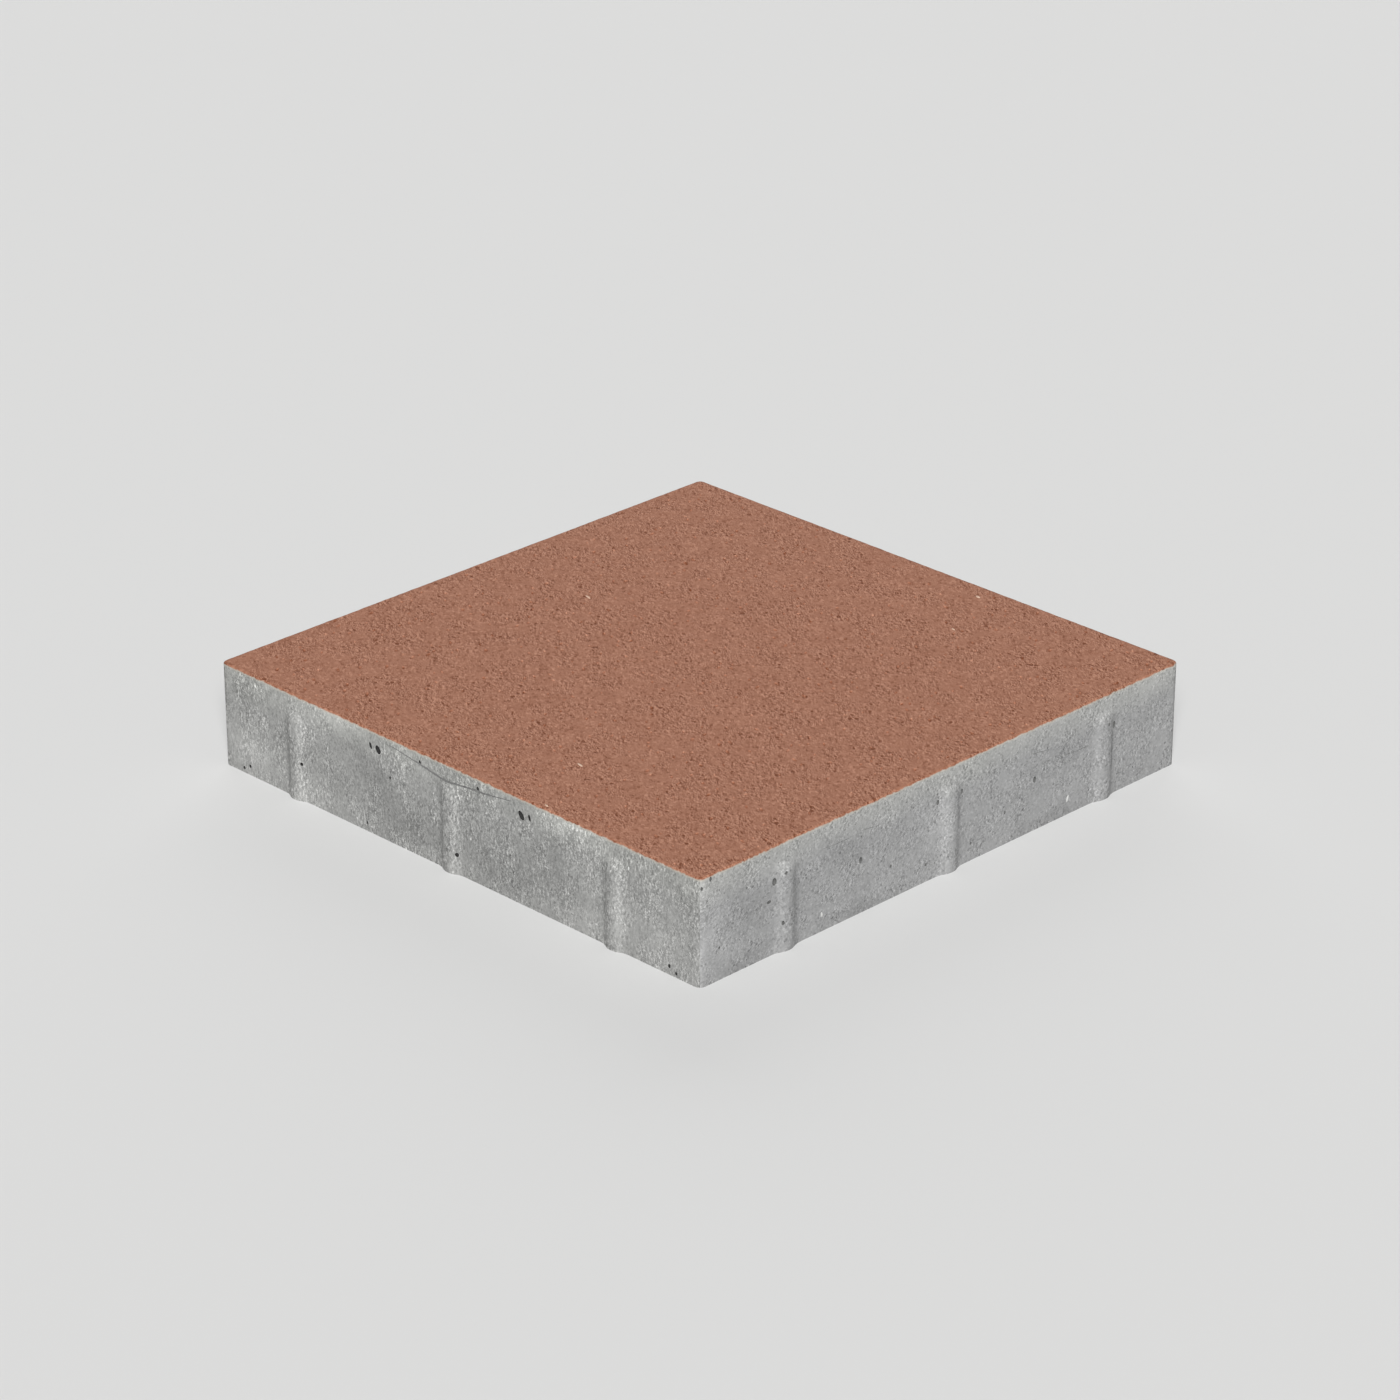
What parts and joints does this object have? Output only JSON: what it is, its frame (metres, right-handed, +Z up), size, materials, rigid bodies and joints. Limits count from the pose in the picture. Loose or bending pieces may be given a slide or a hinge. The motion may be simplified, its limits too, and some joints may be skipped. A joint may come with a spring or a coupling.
{
  "type": "concrete paving stone",
  "caption": "Square concrete paving slab with a red-brown textured walking face, plain grey sides, rounded upright corners and spacer nibs that set the joint to its neighbours.",
  "frame": {"origin": "middle of the bed, the flat underside that the slab lies on", "axes": "+Z up through the walking face; X and Y square to the side faces"},
  "size_m": [0.304, 0.304, 0.05],
  "materials": {
    "red_faced_concrete": "matt, fine sandy texture, red-brown on the walking face and grey on the sides and bed"
  },
  "bodies": {
    "root": {"paving_stone": "red_faced_concrete"}
  },
  "joints": []
}
